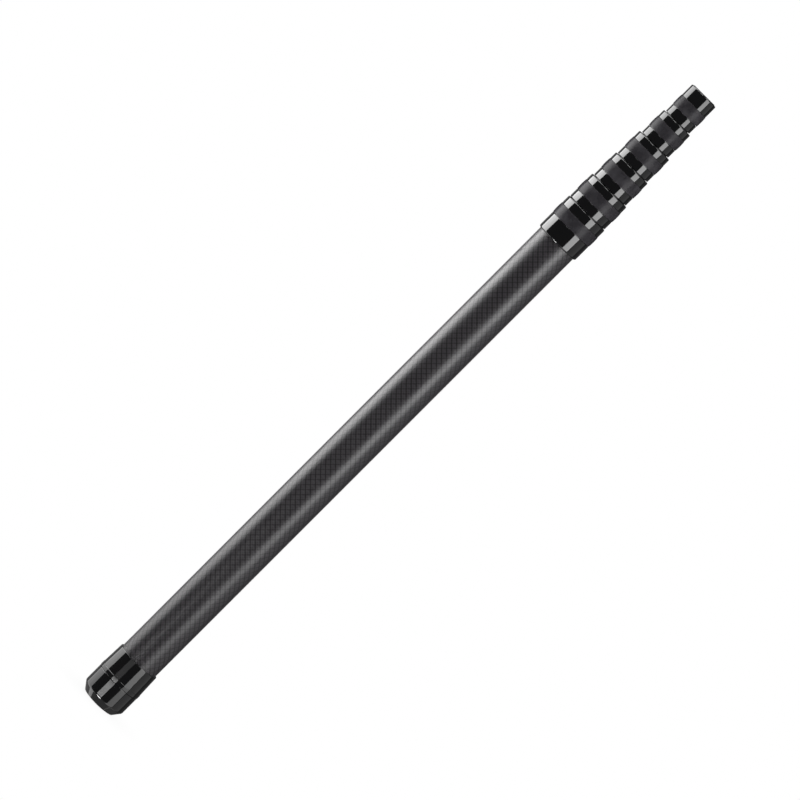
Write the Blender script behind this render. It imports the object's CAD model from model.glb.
"""Looks of the telescopic survey pole, built in Blender 4.5 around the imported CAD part.

Everything is in metres, in the CAD part's frame: the pole stands on z = 0 and its axis is the Z axis.
In order: the materials, the shading of the CAD nodes, the finer pieces that stand for some of them,
and the studio.
"""

import math

import bmesh
import bpy
from mathutils import Matrix, Vector

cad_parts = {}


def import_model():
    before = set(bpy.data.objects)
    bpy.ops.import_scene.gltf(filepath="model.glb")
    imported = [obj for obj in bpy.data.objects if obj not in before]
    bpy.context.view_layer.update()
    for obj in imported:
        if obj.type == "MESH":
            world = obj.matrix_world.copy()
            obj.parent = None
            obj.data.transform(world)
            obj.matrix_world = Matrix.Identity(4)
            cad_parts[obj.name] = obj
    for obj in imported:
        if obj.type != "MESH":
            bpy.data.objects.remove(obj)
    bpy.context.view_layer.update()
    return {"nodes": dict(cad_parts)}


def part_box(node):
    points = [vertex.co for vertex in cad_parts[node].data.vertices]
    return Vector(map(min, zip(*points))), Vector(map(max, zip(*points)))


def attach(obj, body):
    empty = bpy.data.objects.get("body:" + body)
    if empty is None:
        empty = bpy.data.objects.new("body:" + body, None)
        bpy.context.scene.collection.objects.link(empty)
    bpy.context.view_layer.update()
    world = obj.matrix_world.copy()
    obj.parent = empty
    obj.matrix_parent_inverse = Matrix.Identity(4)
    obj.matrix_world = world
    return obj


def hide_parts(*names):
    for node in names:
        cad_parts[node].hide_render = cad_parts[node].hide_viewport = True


MM = 0.001
TAU = 2 * math.pi

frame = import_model()
nodes = frame["nodes"]


# ---------------------------------------------------------------- node materials


class Field:
    """A number that varies over a surface. Arithmetic on it adds Math nodes to its material."""

    def __init__(self, look, socket):
        self.look = look
        self.socket = socket

    def op(self, operation, *others):
        return self.look.math(operation, self, *others)

    def __add__(self, other):
        return self.op("ADD", other)

    def __sub__(self, other):
        return self.op("SUBTRACT", other)

    def __mul__(self, other):
        return self.op("MULTIPLY", other)

    def __truediv__(self, other):
        return self.op("DIVIDE", other)

    def __mod__(self, other):
        return self.op("FLOORED_MODULO", other)

    def floor(self):
        return self.op("FLOOR")

    def fraction(self):
        return self.op("FRACT")

    def below(self, other):
        return self.op("LESS_THAN", other)

    def hump(self):
        """0 at 0 and 1, rising to 1 half-way between."""
        return self * (self * -1 + 1) * 4

    def bands(self, period):
        """Rises from 0 to 1 and falls back once in every period."""
        return (self / period).fraction().hump()

    def ramp(self, start, end, low=0.0, high=1.0):
        """Goes smoothly from low to high as this field goes from start to end."""
        node = self.look.add("MapRange", interpolation_type="SMOOTHSTEP")
        self.look.feed(node, {"Value": self, 1: start, 2: end, 3: low, 4: high})
        return Field(self.look, node.outputs[0])

    def pick(self, low, high):
        """low where this field is 0, high where it is 1, and a mix between."""
        if isinstance(high, (int, float)):
            high = self * 0 + high
        return (high - low) * self + low


class Look:
    """A procedural material around one Principled shader.

    It starts with a plain colour and roughness, which its nodes then vary.
    """

    def __init__(self, name, colour, roughness, **values):
        self.material = bpy.data.materials.new(name)
        self.material.use_nodes = True
        self.material.diffuse_color = (*colour, 1)
        self.tree = self.material.node_tree
        self.shader = self.tree.nodes["Principled BSDF"]
        self.set(Base_Color=(*colour, 1), Roughness=roughness, **values)

    def add(self, kind, **settings):
        node = self.tree.nodes.new("ShaderNode" + kind)
        for key, value in settings.items():
            setattr(node, key, value)
        return node

    def feed(self, node, values):
        """Gives a node's inputs, by name or number, plain values or links."""
        for key, value in values.items():
            if isinstance(value, Field):
                value = value.socket
            if isinstance(value, bpy.types.NodeSocket):
                self.tree.links.new(value, node.inputs[key])
            else:
                node.inputs[key].default_value = value

    def set(self, **values):
        """Sets the shader's inputs; an underscore stands for a space in the input's name."""
        self.feed(self.shader, {key.replace("_", " "): value for key, value in values.items()})

    def math(self, operation, *values):
        node = self.add("Math", operation=operation)
        self.feed(node, dict(enumerate(values)))
        return Field(self, node.outputs[0])

    def place(self):
        """The surface point's x, y and z in the piece's own frame."""
        point = self.add("TexCoord").outputs["Object"]
        split = self.add("SeparateXYZ")
        self.feed(split, {0: point})
        return [Field(self, out) for out in split.outputs]

    def vector(self, x, y, z):
        join = self.add("CombineXYZ")
        self.feed(join, {0: x, 1: y, 2: z})
        return join.outputs[0]

    def noise(self, scale, detail=2.0, at=None):
        """Noise from 0 to 1. Its features are about 1 / scale across."""
        node = self.add("TexNoise")
        self.feed(node, {"Scale": scale, "Detail": detail})
        self.feed(node, {"Vector": at or self.add("TexCoord").outputs["Object"]})
        return Field(self, node.outputs[0])

    def blend(self, share, low, high):
        """A colour between two colours."""
        node = self.add("Mix", data_type="RGBA")
        self.feed(node, {0: share, 6: (*low, 1), 7: (*high, 1)})
        return node.outputs[2]

    def bump(self, height, depth, strength=1.0):
        """Relief from a field of heights from 0 to 1, depth metres deep."""
        node = self.add("Bump")
        self.feed(node, {"Strength": strength, "Distance": depth, "Height": height})
        self.set(Normal=node.outputs[0])

    def worn_edges(self, start=0.53, end=0.62):
        """1 on sharp outer edges, broken up by noise, and 0 elsewhere."""
        point = Field(self, self.add("NewGeometry").outputs["Pointiness"])
        rub = self.noise(180, 4).ramp(0.42, 0.62)
        return point.ramp(start, end) * rub


def gloss_black():
    """Black lacquered aluminium: a deep mirror with faint smears, hairlines and rubbed edges."""
    black = (0.0012, 0.0012, 0.0014)
    rubbed = (0.08, 0.08, 0.085)
    look = Look("gloss_black", black, 0.05, IOR=1.5)
    x, y, z = look.place()
    around = look.math("ARCTAN2", y, x)
    hairline = look.noise(1.0, 2, look.vector(around * 2.2, z * 2600, 0.0)).ramp(0.66, 0.74)
    smear = look.noise(38, 3).ramp(0.35, 0.7, 0.035, 0.085)
    wear = look.worn_edges()
    look.set(Roughness=smear + hairline * 0.1 + wear * 0.2)
    look.set(Base_Color=look.blend(wear * 0.3, black, rubbed))
    look.bump(look.noise(420, 2), 0.004 * MM)
    return look.material


def grip_rubber():
    """Matte grey rubber with a fine moulded stipple and a little dust. Its sheen fades at the rims."""
    clean = (0.0145, 0.0137, 0.0155)
    dusty = (0.0245, 0.0235, 0.026)
    look = Look("grip_rubber", (0.017, 0.016, 0.018), 0.3)
    dust = look.noise(70, 4).ramp(0.4, 0.75)
    turned_away = Field(look, look.add("LayerWeight").outputs["Facing"])
    look.set(Base_Color=look.blend(dust, clean, dusty))
    look.set(Roughness=dust * 0.1 + 0.26)
    look.set(Specular_IOR_Level=turned_away.ramp(0.42, 0.75, 0.075, 0.0))
    stipple = look.noise(1900, 2)
    look.bump(stipple, 0.06 * MM)
    return look.material


def seal_rubber():
    """Plain black rubber for the parts that seal and cushion."""
    look = Look("seal_rubber", (0.016, 0.016, 0.017), 0.6)
    look.set(Roughness=look.noise(250, 3).ramp(0.3, 0.7, 0.5, 0.72))
    look.bump(look.noise(2200, 2), 0.03 * MM)
    return look.material


TOW_WIDTH = 1.7 * MM
TWILL_REPEAT = 4  # tows


def carbon(radius, index):
    """Twill of carbon tows at 45 degrees to the tube's axis, under a satin coat.

    The tow count is a whole number of repeats of the twill, so the weave closes around the tube.
    """
    resin = (0.0005, 0.0004, 0.0006)
    filament = (0.021, 0.019, 0.0215)
    look = Look(f"carbon_tube_{index}", (0.008, 0.0073, 0.0083), 0.32)
    x, y, z = look.place()
    repeats = round(TAU * radius / (math.sqrt(2) * TOW_WIDTH) / TWILL_REPEAT)
    tows_round = TWILL_REPEAT * repeats
    around = look.math("ARCTAN2", y, x) * (tows_round / TAU)
    along = z * (tows_round / (TAU * radius))
    rising = around + along
    falling = around - along
    phase = (rising.floor() - falling.floor()) % TWILL_REPEAT
    rising_on_top = phase.below(TWILL_REPEAT / 2)
    rising_float = ((phase - falling.fraction() + 1) * 0.5).hump()
    falling_float = ((phase - 2 + rising.fraction()) * 0.5).hump()
    rising_tow = rising.bands(1) * 0.6 + rising_float * 0.4
    falling_tow = falling.bands(1) * 0.6 + falling_float * 0.4
    height = rising_on_top.pick(falling_tow, rising_tow)

    # Filaments run along each tow, about nine across it
    rising_fibre = look.noise(1.0, 2, look.vector(rising * 9, falling * 0.5, 0.0))
    falling_fibre = look.noise(1.0, 2, look.vector(falling * 9, rising * 0.5, 7.0))
    fibre = rising_on_top.pick(falling_fibre, rising_fibre)

    # Tows lie closer in twos and fours, and those of one direction catch more light
    rising_hatch = rising.bands(4) * 0.3 + rising.bands(2) * 0.25
    falling_hatch = falling.bands(4) * 0.17 + falling.bands(2) * 0.15
    tint = (rising_hatch + falling_hatch + fibre * 0.1 + rising_on_top * 0.05).ramp(0.35, 0.9)
    cloud = look.noise(22, 3)
    look.set(Base_Color=look.blend(tint, resin, filament))
    look.set(Specular_IOR_Level=tint.pick(0.35, 0.44))
    look.set(Roughness=cloud.ramp(0.3, 0.7, 0.28, 0.33) + fibre * 0.05)
    look.bump(height * 0.8 + fibre * 0.2, 0.1 * MM)
    return look.material


def turned_metal(name, colour, roughness):
    """Bare metal with fine lathe marks."""
    marks_per_metre = 5200
    look = Look(name, colour, roughness, Metallic=1.0)
    x, y, z = look.place()
    radius = look.math("SQRT", x * x + y * y)
    marks = look.noise(1.0, 3, look.vector(radius * marks_per_metre, z * marks_per_metre, 0.0))
    look.set(Roughness=look.noise(120, 3).ramp(0.3, 0.7, roughness - 0.07, roughness + 0.07))
    look.bump(marks, 0.01 * MM)
    return look.material


def moulded_plastic(name, colour, roughness):
    """Plastic with the fine grain of its mould."""
    look = Look(name, colour, roughness, IOR=1.48)
    look.set(Roughness=look.noise(160, 3).ramp(0.3, 0.7, roughness - 0.06, roughness + 0.08))
    look.bump(look.noise(1500, 2), 0.02 * MM)
    return look.material


lacquer = gloss_black()
seal = seal_rubber()
steel = turned_metal("steel", (0.56, 0.55, 0.53), 0.28)
MATERIALS = {
    "lock_base": lacquer,
    "lock_nut": lacquer,
    "foot_ferrule": lacquer,
    "foot_cap": lacquer,
    "head_cap": lacquer,
    "head_plug": turned_metal("plug_metal", (0.72, 0.72, 0.73), 0.3),
    "thread_insert": steel,
    "slip_ring": steel,
    "grip_band": grip_rubber(),
    "wiper": seal,
    "foot_seal": seal,
    "foot_pad": seal,
    "rest_buffer": seal,
    "collet": moulded_plastic("collet_plastic", (0.74, 0.73, 0.69), 0.38),
    "guide_bush": moulded_plastic("bush_plastic", (0.22, 0.23, 0.25), 0.45),
}


def family(name):
    """A node's name without its number: tube_3 gives tube and 3, head_cap gives head_cap and 0."""
    stem, _, number = name.rpartition("_")
    return (stem, int(number)) if number.isdigit() else (name, 0)


# ---------------------------------------------------------------- smooth shading


def smoothing_group(angle):
    """Geometry nodes that join a mesh's seams and shade it smooth, apart from edges sharper than angle."""
    group = bpy.data.node_groups.new("smooth_by_angle", "GeometryNodeTree")
    for way in ("INPUT", "OUTPUT"):
        group.interface.new_socket("Geometry", in_out=way, socket_type="NodeSocketGeometry")
    add, join = group.nodes.new, group.links.new
    start, end = add("NodeGroupInput"), add("NodeGroupOutput")
    weld = add("GeometryNodeMergeByDistance")
    weld.inputs["Distance"].default_value = 0.001 * MM
    smooth_faces, sharp_edges = add("GeometryNodeSetShadeSmooth"), add("GeometryNodeSetShadeSmooth")
    smooth_faces.domain, sharp_edges.domain = "FACE", "EDGE"
    sharp_edges.inputs["Shade Smooth"].default_value = False
    edge_angle = add("GeometryNodeInputMeshEdgeAngle")
    compare = add("FunctionNodeCompare")
    compare.operation = "GREATER_THAN"
    compare.inputs[1].default_value = angle
    join(start.outputs[0], weld.inputs["Geometry"])
    join(weld.outputs[0], smooth_faces.inputs["Geometry"])
    join(smooth_faces.outputs[0], sharp_edges.inputs["Geometry"])
    join(edge_angle.outputs["Unsigned Angle"], compare.inputs[0])
    join(compare.outputs[0], sharp_edges.inputs["Selection"])
    join(sharp_edges.outputs[0], end.inputs[0])
    return group


SHARPEST_SMOOTH_EDGE = math.radians(28)
SMOOTHING = smoothing_group(SHARPEST_SMOOTH_EDGE)


def shade(obj):
    """Smooth shading with the flat faces kept flat. The mesh's own points and faces stay as they are."""
    if "custom_normal" in obj.data.attributes:
        obj.data.attributes.remove(obj.data.attributes["custom_normal"])
    obj.modifiers.new("smooth_by_angle", "NODES").node_group = SMOOTHING
    weighted = obj.modifiers.new("weighted_normal", "WEIGHTED_NORMAL")
    weighted.keep_sharp = True
    weighted.weight = 100


# ---------------------------------------------------------------- pieces


def lathe(name, outline, segments, swell=None):
    """Closed ring turned about the pole's axis from an outline of (radius, height) points.

    swell(index, angle) gives what to add to the radius of the outline's point at an angle.
    """
    mesh = bmesh.new()
    columns = []
    for i in range(segments):
        angle = TAU * i / segments
        column = []
        for j, (radius, height) in enumerate(outline):
            r = radius + (swell(j, angle) if swell else 0.0)
            column.append(mesh.verts.new((r * math.cos(angle), r * math.sin(angle), height)))
        columns.append(column)
    for i in range(segments):
        left, right = columns[i], columns[(i + 1) % segments]
        for j in range(len(outline)):
            k = (j + 1) % len(outline)
            mesh.faces.new((left[j], right[j], right[k], left[k]))
    bmesh.ops.recalc_face_normals(mesh, faces=mesh.faces)
    data = bpy.data.meshes.new(name)
    mesh.to_mesh(data)
    mesh.free()
    obj = bpy.data.objects.new(name, data)
    bpy.context.scene.collection.objects.link(obj)
    return obj


def stand_for(obj, node, body):
    """obj is shown in place of a CAD node."""
    obj.data.materials.append(MATERIALS[family(node)[0]])
    shade(obj)
    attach(obj, body)
    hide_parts(node)


def arc(centre, radius, start, end, steps=6):
    """Points of a round corner, angles in degrees."""
    points = []
    for i in range(steps + 1):
        angle = math.radians(start + (end - start) * i / steps)
        points.append((centre[0] + radius * math.cos(angle), centre[1] + radius * math.sin(angle)))
    return points


def grip_band(number):
    """Crowned rubber band with round shoulders that stand a little proud of the rings beside it."""
    low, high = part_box(f"grip_band_{number}")
    thickness = 1.68 * MM
    crown = 0.4 * MM
    shoulder = 0.5 * MM
    inner = high.x - thickness
    side = high.x - crown
    crown_steps = 14
    run = (high.z - low.z) - 2 * shoulder
    outline = [(inner, high.z), (inner, low.z)]
    outline += arc((side - shoulder, low.z + shoulder), shoulder, -90, 0)
    for i in range(1, crown_steps):
        t = i / crown_steps
        outline.append((side + crown * math.sin(math.pi * t), low.z + shoulder + run * t))
    outline += arc((side - shoulder, high.z - shoulder), shoulder, 0, 90)
    return lathe(f"grip_rubber_{number}", outline, 192)


def foot_pad():
    """Rubber pad with ring grooves in its tread and a drain hole."""
    low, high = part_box("foot_pad")
    drain = 3 * MM
    bevel = 0.4 * MM
    edge = 1 * MM
    groove_depth = 0.9 * MM
    groove_half = 0.9 * MM
    outline = [(drain, high.z), (drain, low.z + bevel), (drain + bevel, low.z)]
    for centre in (7.5 * MM, 11.5 * MM, 15.5 * MM):
        outline += [
            (centre - groove_half, low.z),
            (centre - groove_half * 0.5, low.z + groove_depth),
            (centre + groove_half * 0.5, low.z + groove_depth),
            (centre + groove_half, low.z),
        ]
    outline += arc((high.x - edge, low.z + edge), edge, -90, 0)
    outline.append((high.x, high.z))
    return lathe("foot_tread_pad", outline, 144)


def thread_insert():
    """Steel insert with a real helical thread, 11 turns to the inch."""
    low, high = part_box("thread_insert")
    pitch = 25.4 / 11 * MM
    minor = 6.75 * MM
    depth = 1.15 * MM
    lead = 0.9 * MM
    root, flank = 1.25, 2.9  # how flat the thread's root is, and how steep its sides are
    rows_per_turn = 12
    rows = round((high.z - low.z) / pitch * rows_per_turn)
    outline = [(high.x, low.z), (high.x, high.z)]
    outline += [(minor, high.z - (high.z - low.z) * i / rows) for i in range(rows + 1)]

    def swell(index, angle):
        if index < 2:
            return 0.0
        z = outline[index][1]
        turn = (z / pitch - angle / TAU) % 1.0
        groove = depth * min(1.0, max(0.0, root - abs(turn - 0.5) * flank))
        countersink = depth + lead - (high.z - z)
        return max(groove, countersink)

    return lathe("stud_thread", outline, 96, swell)


for number in range(1, 7):
    stand_for(grip_band(number), f"grip_band_{number}", f"nut_{number}")
stand_for(foot_pad(), "foot_pad", "section_1")
stand_for(thread_insert(), "thread_insert", "section_7")

for name, obj in nodes.items():
    if obj.hide_render:
        continue
    kind, number = family(name)
    material = carbon(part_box(name)[1].x, number) if kind == "tube" else MATERIALS[kind]
    for material_slot in obj.material_slots:
        material_slot.material = material
    shade(obj)


# ---------------------------------------------------------------- studio


def softbox(name, azimuths, heights, radiance, levels=None, distance=1.5):
    """Upright soft light that faces the pole's axis and spans two azimuths and two heights.

    Azimuths are in degrees, 0 towards the camera and positive to the camera's right. levels are
    (height, share of the radiance) pairs that the light follows from its foot to its top.
    """
    middle = math.radians(sum(azimuths) / 2)
    half = math.radians(azimuths[1] - azimuths[0]) / 2
    width = 2 * distance * math.tan(half)
    height = heights[1] - heights[0]
    lamp = bpy.data.lights.new(name, "AREA")
    lamp.shape = "RECTANGLE"
    lamp.size = width
    lamp.size_y = height
    lamp.energy = radiance * math.pi * width * height
    light = bpy.data.objects.new(name, lamp)
    out = Vector((math.sin(middle), -math.cos(middle), 0))
    across = Vector((math.cos(middle), math.sin(middle), 0))
    up = Vector((0, 0, 1))
    place = out * distance + up * sum(heights) / 2
    light.matrix_world = Matrix.Translation(place) @ Matrix((across, up, out)).transposed().to_4x4()
    light.visible_camera = False
    bpy.context.scene.collection.objects.link(light)
    if levels:
        dim_by_height(lamp, levels)


def follow_levels(tree, value, levels):
    """Socket that follows (value, level) pairs, joined by straight lines. Levels may pass 1."""
    first, last = levels[0][0], levels[-1][0]
    peak = max(level for _, level in levels)
    share = tree.nodes.new("ShaderNodeMapRange")
    share.inputs["From Min"].default_value = first
    share.inputs["From Max"].default_value = last
    ramp = tree.nodes.new("ShaderNodeValToRGB")
    while len(ramp.color_ramp.elements) < len(levels):
        ramp.color_ramp.elements.new(1.0)
    for stop, (place, level) in zip(ramp.color_ramp.elements, levels):
        stop.position = (place - first) / (last - first)
        stop.color = (level / peak, level / peak, level / peak, 1)
    scale = tree.nodes.new("ShaderNodeMath")
    scale.operation = "MULTIPLY"
    scale.inputs[1].default_value = peak
    tree.links.new(value, share.inputs["Value"])
    tree.links.new(share.outputs[0], ramp.inputs["Fac"])
    tree.links.new(ramp.outputs["Color"], scale.inputs[0])
    return scale.outputs[0]


def dim_by_height(lamp, levels):
    """The lamp's strength follows (height, share) pairs."""
    lamp.use_nodes = True
    tree = lamp.node_tree
    point = tree.nodes.new("ShaderNodeNewGeometry")
    split = tree.nodes.new("ShaderNodeSeparateXYZ")
    tree.links.new(point.outputs["Position"], split.inputs[0])
    strength = follow_levels(tree, split.outputs["Z"], levels)
    tree.links.new(strength, tree.nodes["Emission"].inputs["Strength"])


# Long strips on both sides draw the stripes down the pole, dimmer towards the foot and the top
STRIP = (-3.0, 8.5)
LEFT_FALL = ((-0.22, 0.27), (0.5, 1.0), (0.8, 1.0), (0.9, 1.12), (1.12, 0.8), (1.3, 0.7))
RIGHT_FALL = ((-0.22, 0.27), (0.5, 1.0), (0.95, 1.0), (1.2, 0.8))
softbox("key_left", (-107, -79), STRIP, 9.5, LEFT_FALL)
softbox("key_left_back", (-127, -107), STRIP, 8.0, LEFT_FALL)
softbox("key_right", (34, 64), STRIP, 7.8, RIGHT_FALL)
softbox("rim_left", (-178, -127), STRIP, 0.2)
softbox("rim_right", (67, 112), STRIP, 0.5)

# A low card that the foot mirrors, brightest at its own foot
FRONT_FALL = (
    (-0.3, 1.3), (-0.26, 0.75), (-0.235, 0.2), (-0.21, 0.3), (-0.19, 0.04), (0.1, 0.03), (0.4, 0.0)
)
softbox("low_front", (-33, -5), (-0.3, 0.4), 18.0, FRONT_FALL)

# Steep lights from below and above, which only the rounded edges mirror
softbox("table_front", (-42, -8), (-5.0, -2.0), 34.0)
softbox("top_front", (-35, -5), (2.2, 5.0), 7.5)


def world():
    """White for the camera. What the pole reflects is a dim room, paler straight below and above."""
    room_levels = ((-0.9, 0.4), (-0.5, 0.11), (0.5, 0.11), (0.9, 0.35))
    made = bpy.data.worlds.new("studio")
    made.use_nodes = True
    tree = made.node_tree
    back = tree.nodes["Background"]
    direction = tree.nodes.new("ShaderNodeTexCoord")
    split = tree.nodes.new("ShaderNodeSeparateXYZ")
    tree.links.new(direction.outputs["Generated"], split.inputs[0])
    room = follow_levels(tree, split.outputs["Z"], room_levels)
    ray = tree.nodes.new("ShaderNodeLightPath")
    mix = tree.nodes.new("ShaderNodeMix")
    mix.inputs["B"].default_value = 1.0
    tree.links.new(room, mix.inputs["A"])
    tree.links.new(ray.outputs["Is Camera Ray"], mix.inputs["Factor"])
    tree.links.new(mix.outputs[0], back.inputs["Strength"])
    back.inputs["Color"].default_value = (1, 1, 1, 1)
    bpy.context.scene.world = made


def floor():
    """Pale paper sweep, a little darker where the foot stands on it."""
    mesh = bmesh.new()
    bmesh.ops.create_circle(mesh, cap_ends=True, radius=300, segments=96)
    data = bpy.data.meshes.new("floor")
    mesh.to_mesh(data)
    mesh.free()
    obj = bpy.data.objects.new("floor", data)
    bpy.context.scene.collection.objects.link(obj)
    material = bpy.data.materials.new("paper")
    material.use_nodes = True
    tree = material.node_tree
    tree.nodes.clear()
    shadow = tree.nodes.new("ShaderNodeAmbientOcclusion")
    shadow.inputs["Distance"].default_value = 0.05
    level = tree.nodes.new("ShaderNodeMapRange")
    level.inputs["To Min"].default_value = 0.93
    level.inputs["To Max"].default_value = 1.0
    glow = tree.nodes.new("ShaderNodeEmission")
    output = tree.nodes.new("ShaderNodeOutputMaterial")
    tree.links.new(shadow.outputs["AO"], level.inputs["Value"])
    tree.links.new(level.outputs[0], glow.inputs["Strength"])
    tree.links.new(glow.outputs[0], output.inputs["Surface"])
    data.materials.append(material)
    obj.visible_diffuse = False
    obj.visible_glossy = False
    obj.visible_shadow = False


def camera():
    """Long lens a little above the pole's middle, rolled so that the pole lies across the picture."""
    aim = Vector((0, 0, 0.5704))
    distance = 6.763
    elevation = math.radians(4.8)
    roll = math.radians(44.98)
    data = bpy.data.cameras.new("camera")
    data.lens = 230.35
    data.sensor_width = 36
    data.clip_end = 600
    obj = bpy.data.objects.new("camera", data)
    back = Vector((0, -math.cos(elevation), math.sin(elevation)))
    turn = back.to_track_quat("Z", "Y").to_matrix() @ Matrix.Rotation(roll, 3, "Z")
    obj.matrix_world = Matrix.Translation(aim + back * distance) @ turn.to_4x4()
    bpy.context.scene.collection.objects.link(obj)
    bpy.context.scene.camera = obj


world()
floor()
camera()
bpy.context.scene.view_settings.view_transform = "Standard"
